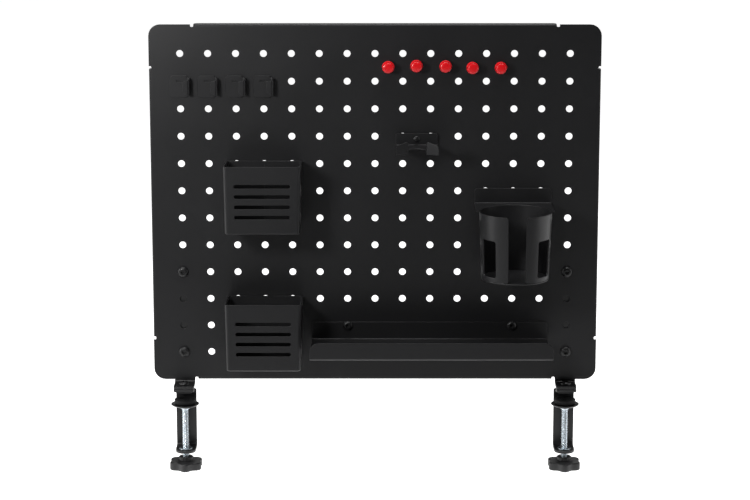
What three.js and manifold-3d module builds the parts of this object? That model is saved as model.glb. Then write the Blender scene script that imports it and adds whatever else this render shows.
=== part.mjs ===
// Pegboard tool wall: a perforated steel panel on two desk clamps, with hung and screwed-on holders.
// Millimetres. +X is to the right, -Y is the front, +Z is up. X = 0 is midway between the clamps,
// Y = 0 is the panel's front face, and Z = 0 is the underside of the upper clamp pads (the desk top).

import * as THREE from 'three';
import { mergeVertices } from 'three/addons/utils/BufferGeometryUtils.js';
import Module from 'manifold-3d';

const wasm = await Module();
wasm.setup();

// ---------------------------------------------------------------- driving dimensions

const pitch = 25.4;
const columnCount = 15;
const rowCount = 12;
const holeRadius = 6.35 / 2;
const sheet = 1.2;
const gap = 0.3;

const panelWidth = 412.4;
const panelHeight = 332.6;
const panelBottom = 9.8;
const panelCorner = 10.6;
const flangeDepth = 12;
const reliefFromCorner = 39.6;
const reliefRadius = 1.4;

const stripWidth = 19;
const stripThickness = 2.5;
const padThickness = 1.2;
const clampReach = 16.5;
const clampAxisY = -1.5;
const footScrewY = -8;
const spineFront = 12.4;
const lowerJawTop = -57.15;
const waistHalf = 7.6;
const waistSetback = 4.5;
const shoulderZ = -3;
const uprightAboveRow = 11;
const screwRadius = 3;
const smallScrewRadius = 2.5;
const bushHoleRadius = 5;
const collarRadius = 4.5;
const puckTop = -8.7;
const puckRadius = 9.8;
const discRimZ = -13;
const discRadius = 13.2;
const knobHubTop = -64.4;
const knobTop = -68;
const knobBottom = -76;
const knobRadius = 16.3;
const knobLobes = 6;
const knobLobeDepth = 3;
const knobHubRadius = 6.8;

// Heights of the hung holders are measured from the centre of the peg hole that they hang in.
const tabHalfWidth = 1.25;
const hookBottom = -5.8;

const binWidth = 70;
const binTaper = 2.4;
const binDepth = 50;
const binBottom = -56.5;
const binFrontTop = 5.5;
const binBackTop = 2.8;
const binCorner = 3.2;
const binSlotZs = [-12.4, -21.8, -31.2, -40.6];

const cupCentreY = -43;
const cupHeight = 61;
const cupRadius = 33;
const cupBaseRadius = 30.8;
const cupRimZ = -11;
const cupFloorThickness = 1.5;
const cupSlotHalf = 8.3;
const cupWindowHalf = 8.8;
const cupWindowAngle = 53;
const cupWindowBelowRim = 23;
const cupWindowAboveFloor = 4;
const cupPlateTop = 2.8;
const cupPlateWidth = 70.8;
const cupFlangeZ = -11.6;

const trayWidth = 219;
const trayDepth = 76.5;
const trayLip = 16.2;
const trayTop = 3.4;
const trayFloorZ = -13.5;
const trayCorner = 8;

const hangerHalf = 19.15;
const hangerTop = 3.2;
const hangerShelfZ = -8.1;
const hangerTipZ = -10.4;
const hangerTipTop = 1.2;
const hangerReach = 45;
const hangerSlotHalf = 8.2;
const hangerSlotLength = 26;
const rivetZ = -2;
const rivetHoleRadius = 1.9;

const clipHalf = 9.25;
const clipTop = 5.4;
const clipBottom = -14.9;
const clipCorner = 3;
const clipTongueDepth = 8;
const clipTongueLeft = 2.7;
const clipTongueBottom = -12.3;
const clipTongueHeight = 13.4;

const magnetRadius = 5.7;
const magnetDiscHeight = 2;
const magnetHeight = 12;
const magnetPlaces = [[12, 303.8], [37.7, 304.8], [64.2, 304.4], [88.8, 303.1], [114.5, 303.1]];

// ---------------------------------------------------------------- places on the peg grid

const columnX = (column) => (column - (columnCount + 1) / 2) * pitch;
const firstRowZ = panelBottom + (panelHeight + (rowCount - 1) * pitch) / 2;
const rowZ = (row) => firstRowZ - (row - 1) * pitch;
const clampX = columnX(columnCount);
const plateBack = -gap;
const plateFront = plateBack - sheet;
const plateMiddle = (plateBack + plateFront) / 2;
const panelBack = sheet;
const uprightFront = panelBack + gap;

// ---------------------------------------------------------------- materials

const material = (color, roughness, metalness) =>
  new THREE.MeshStandardMaterial({ color, roughness, metalness });
const powderCoat = () => material('#1d1d1f', 0.55, 0.1);
const steelPaint = () => material('#161618', 0.45, 0.2);
const zinc = () => material('#c9d3da', 0.3, 0.9);
const blackOxide = () => material('#141416', 0.4, 0.6);
const blackPlastic = () => material('#232325', 0.5, 0);
const blackRubber = () => material('#101011', 0.85, 0);
const redPlastic = () => material('#c8121c', 0.3, 0);
const nickel = () => material('#b8bcc0', 0.25, 1);

// ---------------------------------------------------------------- closed solids

function closed(geometry) {
  const bare = geometry.clone();
  bare.deleteAttribute('normal');
  bare.deleteAttribute('uv');
  const merged = mergeVertices(bare, 1e-4);
  const points = merged.attributes.position;
  const index = merged.index.array;
  const triangles = [];
  let volume = 0;
  const a = new THREE.Vector3();
  const b = new THREE.Vector3();
  const c = new THREE.Vector3();
  for (let i = 0; i < index.length; i += 3) {
    const [p, q, r] = [index[i], index[i + 1], index[i + 2]];
    if (p === q || q === r || r === p) continue;
    a.fromBufferAttribute(points, p);
    b.fromBufferAttribute(points, q);
    c.fromBufferAttribute(points, r);
    volume += a.dot(b.cross(c));
    triangles.push(p, q, r);
  }
  if (volume < 0) triangles.reverse();
  const mesh = new wasm.Mesh({
    numProp: 3,
    vertProperties: new Float32Array(points.array),
    triVerts: new Uint32Array(triangles),
  });
  return new wasm.Manifold(mesh);
}

function geometryOf(solid) {
  const mesh = solid.getMesh();
  const geometry = new THREE.BufferGeometry();
  const points = new Float32Array(mesh.vertProperties);
  const index = new Uint32Array(mesh.triVerts);
  geometry.setAttribute('position', new THREE.BufferAttribute(points, 3));
  geometry.setIndex(new THREE.BufferAttribute(index, 1));
  geometry.computeVertexNormals();
  return geometry;
}

const joined = (solids) => solids.reduce((sum, solid) => sum.add(solid));
const cut = (solid, tools) => tools.reduce((rest, tool) => rest.subtract(tool), solid);

function box(lowX, highX, lowY, highY, lowZ, highZ) {
  const geometry = new THREE.BoxGeometry(highX - lowX, highY - lowY, highZ - lowZ);
  geometry.translate((lowX + highX) / 2, (lowY + highY) / 2, (lowZ + highZ) / 2);
  return closed(geometry);
}

// A shape drawn in X and Y, extruded upwards from lowZ.
function upright(shape, lowZ, height, curveSegments = 4) {
  const geometry = new THREE.ExtrudeGeometry(shape, { depth: height, bevelEnabled: false, curveSegments });
  geometry.translate(0, 0, lowZ);
  return closed(geometry);
}

// A shape drawn in X and Z, extruded backwards from frontY.
function facing(shape, frontY, depth, curveSegments = 4) {
  const geometry = new THREE.ExtrudeGeometry(shape, { depth, bevelEnabled: false, curveSegments });
  geometry.rotateX(Math.PI / 2);
  geometry.translate(0, frontY + depth, 0);
  return closed(geometry);
}

// A shape drawn in Y and Z, extruded along X about the middle.
function sideways(shape, width, curveSegments = 4) {
  const geometry = new THREE.ExtrudeGeometry(shape, { depth: width, bevelEnabled: false, curveSegments });
  const turn = new THREE.Matrix4().makeBasis(
    new THREE.Vector3(0, 1, 0),
    new THREE.Vector3(0, 0, 1),
    new THREE.Vector3(1, 0, 0),
  );
  geometry.applyMatrix4(turn);
  geometry.translate(-width / 2, 0, 0);
  return closed(geometry);
}

// A profile of [radius, z] pairs turned about the Z axis.
function turned(profile, segments) {
  const points = profile.map(([radius, z]) => new THREE.Vector2(radius, z));
  const geometry = new THREE.LatheGeometry(points, segments);
  geometry.rotateX(Math.PI / 2);
  return closed(geometry);
}

function rod(radius, lowZ, highZ, segments) {
  return turned([[0, lowZ], [radius, lowZ], [radius, highZ], [0, highZ]], segments);
}

// Lays a solid made about +Z along +Y instead, so that its top faces the front.
const toFront = (solid) => solid.rotate([90, 0, 0]);

// ---------------------------------------------------------------- outlines

// A rectangle whose corners have radii in the order low-left, low-right, high-right, high-left.
function roundedRectangle(lowX, highX, lowY, highY, radii) {
  const [a, b, c, d] = radii;
  const shape = new THREE.Shape();
  shape.moveTo(lowX + a, lowY);
  shape.lineTo(highX - b, lowY);
  if (b) shape.absarc(highX - b, lowY + b, b, -Math.PI / 2, 0, false);
  shape.lineTo(highX, highY - c);
  if (c) shape.absarc(highX - c, highY - c, c, 0, Math.PI / 2, false);
  shape.lineTo(lowX + d, highY);
  if (d) shape.absarc(lowX + d, highY - d, d, Math.PI / 2, Math.PI, false);
  shape.lineTo(lowX, lowY + a);
  if (a) shape.absarc(lowX + a, lowY + a, a, Math.PI, Math.PI * 1.5, false);
  return shape;
}

// A level slot with round ends.
function stadium(halfStraight, radius, y) {
  const shape = new THREE.Shape();
  shape.absarc(halfStraight, y, radius, -Math.PI / 2, Math.PI / 2, false);
  shape.absarc(-halfStraight, y, radius, Math.PI / 2, Math.PI * 1.5, false);
  return shape;
}

// The side view of a sheet of even thickness bent along its middle line, with round bends.
function bentSheet(path, thickness, bendRadius, bendSteps = 3) {
  const points = path.map(([a, b]) => new THREE.Vector2(a, b));
  const sides = { left: [], right: [] };
  const place = (point, normal) => {
    sides.left.push(point.clone().addScaledVector(normal, thickness / 2));
    sides.right.push(point.clone().addScaledVector(normal, -thickness / 2));
  };
  const normalOf = (direction) => new THREE.Vector2(-direction.y, direction.x);
  points.forEach((point, i) => {
    const arriving = i > 0 ? point.clone().sub(points[i - 1]).normalize() : null;
    const leaving = i < points.length - 1 ? points[i + 1].clone().sub(point).normalize() : null;
    if (!arriving || !leaving) {
      place(point, normalOf(arriving ?? leaving));
      return;
    }
    const turn = Math.atan2(arriving.cross(leaving), arriving.dot(leaving));
    const radius = bendRadius + thickness / 2;
    const setback = radius * Math.tan(Math.abs(turn) / 2);
    const start = point.clone().addScaledVector(arriving, -setback);
    const centre = start.clone().addScaledVector(normalOf(arriving), radius * Math.sign(turn));
    for (let step = 0; step <= bendSteps; step++) {
      const angle = (turn * step) / bendSteps;
      const offset = start.clone().sub(centre).rotateAround(new THREE.Vector2(), angle);
      const direction = arriving.clone().rotateAround(new THREE.Vector2(), angle);
      place(centre.clone().add(offset), normalOf(direction));
    }
  });
  return new THREE.Shape([...sides.left, ...sides.right.reverse()]);
}

function regularOutline(sides, insideRadius) {
  const radius = insideRadius / Math.cos(Math.PI / sides);
  const corner = (i) => {
    const angle = ((i + 0.5) * 2 * Math.PI) / sides - Math.PI / 2;
    return new THREE.Vector2(radius * Math.cos(angle), radius * Math.sin(angle));
  };
  return Array.from({ length: sides }, (_, i) => corner(i));
}

// ---------------------------------------------------------------- scene graph

const pegboard = new THREE.Group();

function add(parent, name, solid, look) {
  const mesh = new THREE.Mesh(geometryOf(solid), look);
  mesh.name = name;
  parent.add(mesh);
}

function groupAt(x, z) {
  const group = new THREE.Group();
  group.position.set(x, 0, z);
  pegboard.add(group);
  return group;
}

// ---------------------------------------------------------------- perforated panel and its flanges

function panelOutline() {
  const halfWidth = panelWidth / 2;
  const top = panelBottom + panelHeight;
  const shape = new THREE.Shape();
  const notchX = halfWidth - reliefFromCorner;
  const notchLow = panelBottom + reliefFromCorner;
  const notchHigh = top - reliefFromCorner;
  const quarter = Math.PI / 2;
  const notch = (x, z, start) => shape.absarc(x, z, reliefRadius, start, start - Math.PI, true);
  const corner = (x, z, start) => shape.absarc(x, z, panelCorner, start, start + quarter, false);
  const cornerX = halfWidth - panelCorner;
  const cornerLow = panelBottom + panelCorner;
  const cornerHigh = top - panelCorner;
  shape.moveTo(-cornerX, panelBottom);
  notch(-notchX, panelBottom, Math.PI);
  notch(notchX, panelBottom, Math.PI);
  corner(cornerX, cornerLow, -quarter);
  notch(halfWidth, notchLow, -quarter);
  notch(halfWidth, notchHigh, -quarter);
  corner(cornerX, cornerHigh, 0);
  notch(notchX, top, 0);
  notch(-notchX, top, 0);
  corner(-cornerX, cornerHigh, quarter);
  notch(-halfWidth, notchHigh, quarter);
  notch(-halfWidth, notchLow, quarter);
  corner(-cornerX, cornerLow, 2 * quarter);
  return shape;
}

function panel() {
  const outline = panelOutline();
  const hole = regularOutline(8, holeRadius);
  for (let column = 1; column <= columnCount; column++) {
    for (let row = 1; row <= rowCount; row++) {
      const centre = new THREE.Vector2(columnX(column), rowZ(row));
      outline.holes.push(new THREE.Path(hole.map((point) => point.clone().add(centre))));
    }
  }
  add(pegboard, 'peg_panel', facing(outline, 0, sheet, 5), powderCoat());
}

// The edges are folded back from the panel's own sheet between the relief notches.
function flanges() {
  const top = panelBottom + panelHeight;
  const half = panelWidth / 2;
  const endX = half - reliefFromCorner - reliefRadius;
  const lowZ = panelBottom + reliefFromCorner + reliefRadius;
  const highZ = top - reliefFromCorner - reliefRadius;
  const level = (lowEdge) => box(-endX, endX, panelBack + gap, flangeDepth, lowEdge, lowEdge + sheet);
  const standing = (edge) => box(edge, edge + sheet, panelBack + gap, flangeDepth, lowZ, highZ);
  add(pegboard, 'flange_top', level(top - sheet), powderCoat());
  add(pegboard, 'flange_bottom', level(panelBottom), powderCoat());
  add(pegboard, 'flange_left', standing(-half), powderCoat());
  add(pegboard, 'flange_right', standing(half - sheet), powderCoat());
}

// ---------------------------------------------------------------- fasteners

// A button-head screw about +Z with its head's underside at Z = 0 and its shank below.
function buttonScrew(shankRadius, headRadius, headHeight, length) {
  return turned([
    [0, -length],
    [shankRadius, -length],
    [shankRadius, 0],
    [headRadius, 0],
    [headRadius * 0.92, headHeight * 0.45],
    [headRadius * 0.55, headHeight],
    [0, headHeight],
  ], 12);
}

// A hexagon nut about +Z from Z = 0 upwards.
function hexNut(boreRadius, insideRadius, height) {
  const body = upright(new THREE.Shape(regularOutline(6, insideRadius)), 0, height);
  return body.subtract(rod(boreRadius, -1, height + 1, 12));
}

// ---------------------------------------------------------------- desk clamp

function uprightBracket(holeZs) {
  const footMiddle = padThickness + 2 * gap + 1.5 * stripThickness;
  const legMiddle = uprightFront + stripThickness / 2;
  const top = rowZ(9) + uprightAboveRow;
  const path = [[legMiddle, top], [legMiddle, footMiddle], [-clampReach, footMiddle]];
  const holes = holeZs.map((z) => toFront(rod(screwRadius + gap, -10, 10, 12)).translate([0, 0, z]));
  const footHole = rod(smallScrewRadius + gap, 0, 12, 12).translate([0, footScrewY, 0]);
  return cut(sideways(bentSheet(path, stripThickness, 2.5), stripWidth), [...holes, footHole]);
}

// The C-shaped frame: its upper jaw is waisted behind the front edge, so the spine has shoulders.
function clampFrame() {
  const upperMiddle = padThickness + gap + stripThickness / 2;
  const lowerMiddle = lowerJawTop - stripThickness / 2;
  const spineMiddle = spineFront + stripThickness / 2;
  const noseY = clampAxisY - stripWidth / 2;
  const path = [
    [-clampReach, upperMiddle],
    [spineMiddle, upperMiddle],
    [spineMiddle, lowerMiddle],
    [noseY, lowerMiddle],
  ];
  const body = sideways(bentSheet(path, stripThickness, 2), stripWidth);
  const outside = stripWidth;
  const waistFront = -clampReach + waistSetback;
  const waists = [-1, 1].map((side) => {
    const inner = side * waistHalf;
    const outer = side * outside;
    return box(Math.min(inner, outer), Math.max(inner, outer), waistFront, 30, shoulderZ, 20);
  });
  const nose = new THREE.Shape();
  nose.moveTo(-outside, clampAxisY);
  nose.lineTo(-outside, clampAxisY - outside);
  nose.lineTo(outside, clampAxisY - outside);
  nose.lineTo(outside, clampAxisY);
  nose.lineTo(stripWidth / 2, clampAxisY);
  nose.absarc(0, clampAxisY, stripWidth / 2, 0, -Math.PI, true);
  const noseCut = upright(nose, lowerMiddle - 6, 12, 12);
  const bushHole = rod(bushHoleRadius, lowerMiddle - 6, lowerMiddle + 6, 16).translate([0, clampAxisY, 0]);
  const footHole = rod(smallScrewRadius + gap, 0, 12, 12).translate([0, footScrewY, 0]);
  return cut(body, [...waists, noseCut, bushHole, footHole]);
}

function threadedBush() {
  const bore = screwRadius + gap;
  const sleeve = bushHoleRadius - gap;
  const flange = sleeve + 1.5;
  const bottom = lowerJawTop - stripThickness;
  const seat = lowerJawTop + gap;
  const top = seat + 0.7;
  return turned([
    [bore, bottom],
    [sleeve, bottom],
    [sleeve, seat],
    [flange, seat],
    [flange, top],
    [bore, top],
    [bore, bottom],
  ], 16);
}

function clampScrew() {
  const collarTop = discRimZ - 3.9;
  return turned([
    [0, knobBottom + 3.5],
    [screwRadius, knobBottom + 3.5],
    [screwRadius, collarTop - 1],
    [collarRadius, collarTop - 1],
    [collarRadius, collarTop],
    [screwRadius, collarTop],
    [screwRadius, discRimZ],
    [0, discRimZ],
  ], 16);
}

// A dished steel disc whose rim turns up, with a hole for the screw's tip.
function pressureDisc() {
  const hole = screwRadius + 0.4;
  return turned([
    [hole, discRimZ - 3.6],
    [7, discRimZ - 3.6],
    [discRadius - 1, discRimZ - 1.4],
    [discRadius, discRimZ - 0.2],
    [discRadius - 1, discRimZ],
    [puckRadius - 0.5, discRimZ - 0.6],
    [hole, discRimZ - 0.6],
    [hole, discRimZ - 3.6],
  ], 24);
}

function starKnob() {
  const outline = [];
  const steps = 48;
  for (let i = 0; i < steps; i++) {
    const angle = (i * 2 * Math.PI) / steps;
    const wave = Math.cos(knobLobes * (angle + Math.PI / 2));
    const radius = knobRadius + (knobLobeDepth / 2) * (wave - 1);
    outline.push(new THREE.Vector2(radius * Math.cos(angle), radius * Math.sin(angle)));
  }
  const star = upright(new THREE.Shape(outline), knobBottom, knobTop - knobBottom);
  const hub = rod(knobHubRadius, knobTop - 1, knobHubTop, 20);
  const bore = rod(screwRadius + gap, knobBottom + 3.2, 0, 16);
  return star.add(hub).subtract(bore);
}

function clamp(side, x) {
  const group = groupAt(x, 0);
  const panelRows = [9, 12];
  const axis = [0, clampAxisY, 0];
  const footTop = padThickness + 2 * gap + 2 * stripThickness;
  add(group, `upright_${side}`, uprightBracket(panelRows.map(rowZ)), steelPaint());
  add(group, `clamp_frame_${side}`, clampFrame(), steelPaint());
  const padHalf = 7.2;
  add(group, `jaw_pad_${side}`, box(-padHalf, padHalf, -15.5, 9.5, 0, padThickness), blackRubber());
  const footScrew = buttonScrew(smallScrewRadius, 4.6, 2.6, footTop - padThickness - 0.6);
  add(group, `foot_screw_${side}`, footScrew.translate([0, footScrewY, footTop + gap]), blackOxide());
  for (const row of panelRows) {
    const screw = toFront(buttonScrew(screwRadius - 0.1, 5.1, 3, 9)).translate([0, -gap, rowZ(row)]);
    add(group, `panel_screw_${side}_row${row}`, screw, blackOxide());
    const nutHeight = 4;
    const nutBack = uprightFront + stripThickness + gap + nutHeight;
    const nut = toFront(hexNut(screwRadius + gap, 5, nutHeight)).translate([0, nutBack, rowZ(row)]);
    add(group, `panel_nut_${side}_row${row}`, nut, blackOxide());
  }
  add(group, `threaded_bush_${side}`, threadedBush().translate(axis), zinc());
  add(group, `pressure_disc_${side}`, pressureDisc().translate(axis), steelPaint());
  const puck = rod(puckRadius, discRimZ + gap, puckTop, 24);
  add(group, `pressure_puck_${side}`, puck.translate(axis), blackRubber());
  add(group, `clamp_screw_${side}`, clampScrew().translate(axis), zinc());
  add(group, `clamp_knob_${side}`, starKnob().translate(axis), blackPlastic());
}

// ---------------------------------------------------------------- hooks of the hung holders

// A tab that lies on the bottom of a peg hole and drops behind the panel; Z = 0 is the hole's centre.
function hook(x) {
  const tabLow = gap - holeRadius;
  const tabHigh = tabLow + sheet;
  const left = x - tabHalfWidth;
  const right = x + tabHalfWidth;
  const legBack = uprightFront + sheet;
  const tab = box(left, right, plateMiddle, legBack, tabLow, tabHigh);
  const leg = box(left, right, uprightFront, legBack, hookBottom, tabHigh);
  return tab.add(leg);
}

// ---------------------------------------------------------------- slotted bins

// A block with rounded front corners that narrows evenly towards its bottom.
function taperedBlock(halfTop, frontY, backY, lowZ, highZ, cornerRadius, narrowing, heightOfTaper) {
  const shape = roundedRectangle(-halfTop, halfTop, frontY, backY, [cornerRadius, cornerRadius, 0, 0]);
  const depth = highZ - lowZ;
  const geometry = new THREE.ExtrudeGeometry(shape, { depth, bevelEnabled: false, curveSegments: 4 });
  geometry.translate(0, 0, lowZ);
  const points = geometry.attributes.position;
  for (let i = 0; i < points.count; i++) {
    const drop = highZ - points.getZ(i);
    points.setX(i, points.getX(i) * (1 - (narrowing * drop) / (heightOfTaper * halfTop)));
  }
  return closed(geometry);
}

function binSolid() {
  const half = binWidth / 2;
  const frontY = plateBack - binDepth - sheet;
  const taper = binTaper / 2;
  const blockTop = binFrontTop + 5;
  const height = blockTop - binBottom;
  const outer = taperedBlock(half, frontY, plateBack, binBottom, blockTop, binCorner, taper, height);
  const inner = taperedBlock(
    half - sheet,
    frontY + sheet,
    plateFront,
    binBottom + sheet,
    blockTop + 5,
    binCorner - sheet,
    taper,
    height,
  );
  const above = blockTop + 15;
  const overTop = new THREE.Shape([
    new THREE.Vector2(5, binBackTop),
    new THREE.Vector2(plateFront - 1, binBackTop),
    new THREE.Vector2(frontY + 4, binFrontTop),
    new THREE.Vector2(frontY - 5, binFrontTop),
    new THREE.Vector2(frontY - 5, above),
    new THREE.Vector2(5, above),
  ]);
  const slots = binSlotZs.map((z) => facing(stadium(24, 1.75, z), frontY - 2, 6, 4));
  const shell = cut(outer, [inner, sideways(overTop, binWidth + 10), ...slots]);
  return joined([shell, hook(-pitch), hook(pitch)]);
}

function bins() {
  for (const [name, row] of [['bin_upper', 5], ['bin_lower', 10]]) {
    add(groupAt(columnX(4), rowZ(row)), name, binSolid(), powderCoat());
  }
}

// ---------------------------------------------------------------- cup holder

function cupHolder() {
  const group = groupAt(columnX(13), rowZ(6));
  const bottomZ = cupRimZ - cupHeight - 1;
  const floorTop = bottomZ + cupFloorThickness;
  const path = [[plateMiddle, cupPlateTop], [plateMiddle, cupFlangeZ], [cupCentreY, cupFlangeZ]];
  const cupBody = rod(cupRadius + gap, -100, 100, 48).translate([0, cupCentreY, 0]);
  const strip = sideways(bentSheet(path, sheet, 0.8), cupPlateWidth).subtract(cupBody);
  add(group, 'cup_bracket', joined([strip, hook(-pitch), hook(pitch)]), powderCoat());

  const wallBottom = floorTop + gap;
  const ring = turned([
    [cupBaseRadius - sheet, wallBottom],
    [cupBaseRadius, wallBottom],
    [cupRadius, cupRimZ],
    [cupRadius - sheet, cupRimZ],
    [cupBaseRadius - sheet, wallBottom],
  ], 48);
  const outside = -cupRadius - 5;
  const frontSlot = box(-cupSlotHalf, cupSlotHalf, outside, -10, wallBottom - 5, cupRimZ + 5);
  const windowTop = cupRimZ - cupWindowBelowRim;
  const windowBottom = wallBottom + cupWindowAboveFloor;
  const corners = [2, 2, 2, 2];
  const outline = roundedRectangle(-cupWindowHalf, cupWindowHalf, windowBottom, windowTop, corners);
  const windows = [-1, 1].map((side) =>
    facing(outline, outside, 25, 3).rotate([0, 0, side * cupWindowAngle]));
  const shell = cut(ring, [frontSlot, ...windows]).translate([0, cupCentreY, 0]);
  add(group, 'cup_shell', shell, powderCoat());
  const floor = rod(cupBaseRadius, bottomZ, floorTop, 48).translate([0, cupCentreY, 0]);
  add(group, 'cup_floor', floor, powderCoat());
}

// ---------------------------------------------------------------- screwed-on tray

function tray() {
  const group = groupAt((columnX(7) + columnX(13)) / 2, rowZ(11));
  const frontMiddle = plateMiddle - trayDepth;
  const lipTop = trayFloorZ - sheet / 2 + trayLip;
  const path = [
    [plateMiddle, trayTop],
    [plateMiddle, trayFloorZ],
    [frontMiddle, trayFloorZ],
    [frontMiddle, lipTop],
  ];
  const body = sideways(bentSheet(path, sheet, 1), trayWidth);
  const half = trayWidth / 2;
  const roundFrom = half - trayCorner;
  const roundBelow = lipTop - trayCorner;
  const cornerTools = [-1, 1].map((side) => {
    const outline = new THREE.Shape();
    const endAngle = side > 0 ? 0 : Math.PI;
    outline.moveTo(side * roundFrom, lipTop + 1);
    outline.lineTo(side * roundFrom, lipTop);
    outline.absarc(side * roundFrom, roundBelow, trayCorner, Math.PI / 2, endAngle, side > 0);
    outline.lineTo(side * (half + 1), roundBelow);
    outline.lineTo(side * (half + 1), lipTop + 1);
    return facing(outline, frontMiddle - 3, 6, 6);
  });
  const screwXs = [columnX(7), columnX(13)].map((x) => x - group.position.x);
  const hole = toFront(rod(smallScrewRadius + gap, -4, 4, 12));
  const holes = screwXs.map((x) => hole.translate([x, 0, 0]));
  add(group, 'tray', cut(body, [...cornerTools, ...holes]), powderCoat());
  screwXs.forEach((x, i) => {
    const side = ['left', 'right'][i];
    const screw = toFront(buttonScrew(smallScrewRadius, 4.4, 2.5, 8.2));
    add(group, `tray_screw_${side}`, screw.translate([x, plateFront - gap, 0]), blackOxide());
    const nutHeight = 4;
    const nut = toFront(hexNut(smallScrewRadius + gap, 4, nutHeight));
    add(group, `tray_nut_${side}`, nut.translate([x, uprightFront + nutHeight, 0]), blackOxide());
  });
}

// ---------------------------------------------------------------- twin-prong hanger

function twinHanger() {
  const group = groupAt((columnX(9) + columnX(10)) / 2, rowZ(4));
  const stripHalf = hangerHalf - 1.5;
  const rivetHole = toFront(rod(rivetHoleRadius, -8, 8, 12)).translate([0, 0, rivetZ]);
  const strip = box(-stripHalf, stripHalf, plateFront, plateBack, -5.4, hangerTop - 1);
  const stripSolid = joined([strip, hook(-pitch / 2), hook(pitch / 2)]).subtract(rivetHole);
  add(group, 'hanger_tab_strip', stripSolid, powderCoat());

  const plateY = plateFront - gap - sheet / 2;
  const path = [
    [plateY, hangerTop],
    [plateY, hangerShelfZ],
    [-hangerReach, hangerTipZ],
    [-hangerReach, hangerTipTop],
  ];
  const body = sideways(bentSheet(path, sheet, 0.8), 2 * hangerHalf);
  const slotFront = -hangerReach - 5;
  const roundFrom = hangerSlotLength - hangerReach - hangerSlotHalf;
  const slot = new THREE.Shape();
  slot.moveTo(-hangerSlotHalf, slotFront);
  slot.lineTo(hangerSlotHalf, slotFront);
  slot.lineTo(hangerSlotHalf, roundFrom);
  slot.absarc(0, roundFrom, hangerSlotHalf, 0, Math.PI, false);
  add(group, 'hanger_fork', cut(body, [upright(slot, -30, 50, 8), rivetHole]), powderCoat());

  const head = plateFront - gap - sheet - gap;
  const rivet = turned([
    [0, 1.4],
    [2.6, 1.4],
    [2.9, 0.8],
    [2.9, 0],
    [1.6, 0],
    [1.6, head - plateBack],
    [0, head - plateBack],
  ], 16);
  add(group, 'hanger_rivet', toFront(rivet).translate([0, head, rivetZ]), blackOxide());
}

// ---------------------------------------------------------------- cable clips

function cableClip() {
  const corners = [clipCorner, clipCorner, clipCorner, clipCorner];
  const plateShape = roundedRectangle(-clipHalf, clipHalf, clipBottom, clipTop, corners);
  const plate = facing(plateShape, plateFront, sheet, 3);
  const wallX = clipHalf - sheet / 2;
  const tongueY = plateMiddle - clipTongueDepth;
  const path = [[wallX, plateMiddle], [wallX, tongueY], [clipTongueLeft, tongueY]];
  const tongue = upright(bentSheet(path, sheet, 1.2), clipTongueBottom, clipTongueHeight);
  return joined([plate, tongue, hook(0)]);
}

function cableClips() {
  for (let column = 1; column <= 4; column++) {
    add(groupAt(columnX(column), rowZ(2)), `cable_clip_${column}`, cableClip(), powderCoat());
  }
}

// ---------------------------------------------------------------- magnets

function magnets() {
  magnetPlaces.forEach(([x, z], i) => {
    const group = groupAt(x, z);
    const disc = rod(magnetRadius - 0.7, gap, gap + magnetDiscHeight, 16);
    const low = magnetDiscHeight + 2 * gap;
    const cap = turned([
      [0, low],
      [magnetRadius, low],
      [magnetRadius - 0.3, magnetHeight * 0.45],
      [magnetRadius - 1.2, magnetHeight * 0.75],
      [magnetRadius - 1, magnetHeight - 1],
      [magnetRadius - 2, magnetHeight],
      [0, magnetHeight],
    ], 16);
    add(group, `magnet_disc_${i + 1}`, toFront(disc), nickel());
    add(group, `magnet_cap_${i + 1}`, toFront(cap), redPlastic());
  });
}

// ---------------------------------------------------------------- assembly

panel();
flanges();
clamp('left', -clampX);
clamp('right', clampX);
bins();
cupHolder();
tray();
twinHanger();
cableClips();
magnets();

export default pegboard;
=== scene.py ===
"""Looks of the pegboard tool wall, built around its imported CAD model.

Sizes inside the builders are millimetres in the object's frame (+X right, -Y front, +Z up);
finished pieces are scaled to metres. Sheet pieces are cut flat with rounded edges and then bent.
"""

import math

import bmesh
import bpy
from mathutils import Matrix, Vector

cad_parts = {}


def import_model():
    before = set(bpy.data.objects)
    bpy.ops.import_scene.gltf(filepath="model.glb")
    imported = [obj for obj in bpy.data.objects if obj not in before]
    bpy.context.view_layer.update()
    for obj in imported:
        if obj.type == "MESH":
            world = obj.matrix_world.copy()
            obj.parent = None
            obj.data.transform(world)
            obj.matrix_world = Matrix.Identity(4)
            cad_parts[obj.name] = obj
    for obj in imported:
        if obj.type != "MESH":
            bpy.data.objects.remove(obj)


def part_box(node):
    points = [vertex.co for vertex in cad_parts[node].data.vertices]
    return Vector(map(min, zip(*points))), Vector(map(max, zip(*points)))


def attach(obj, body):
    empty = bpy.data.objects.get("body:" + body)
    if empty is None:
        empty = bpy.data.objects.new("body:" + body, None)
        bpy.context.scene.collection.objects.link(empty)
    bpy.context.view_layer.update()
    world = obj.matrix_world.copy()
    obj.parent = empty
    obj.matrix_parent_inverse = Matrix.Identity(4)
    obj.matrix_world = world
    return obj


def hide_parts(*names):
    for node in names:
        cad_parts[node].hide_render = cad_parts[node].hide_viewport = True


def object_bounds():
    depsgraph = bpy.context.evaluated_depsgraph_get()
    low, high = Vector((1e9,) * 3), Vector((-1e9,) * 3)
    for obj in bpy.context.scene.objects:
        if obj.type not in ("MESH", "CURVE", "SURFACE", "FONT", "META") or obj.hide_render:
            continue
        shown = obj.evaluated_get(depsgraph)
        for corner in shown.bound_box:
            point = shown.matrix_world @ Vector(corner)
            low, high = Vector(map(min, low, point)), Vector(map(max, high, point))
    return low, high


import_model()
cad_low, cad_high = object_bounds()

MM = 0.001
SHEET = 1.2
EDGE = 0.28
PITCH = 25.4
HOLE_RADIUS = 3.175
STRIP = 2.5
COLUMNS = 15
ROWS = 12


# ---------------------------------------------------------------- places from the frame

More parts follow.
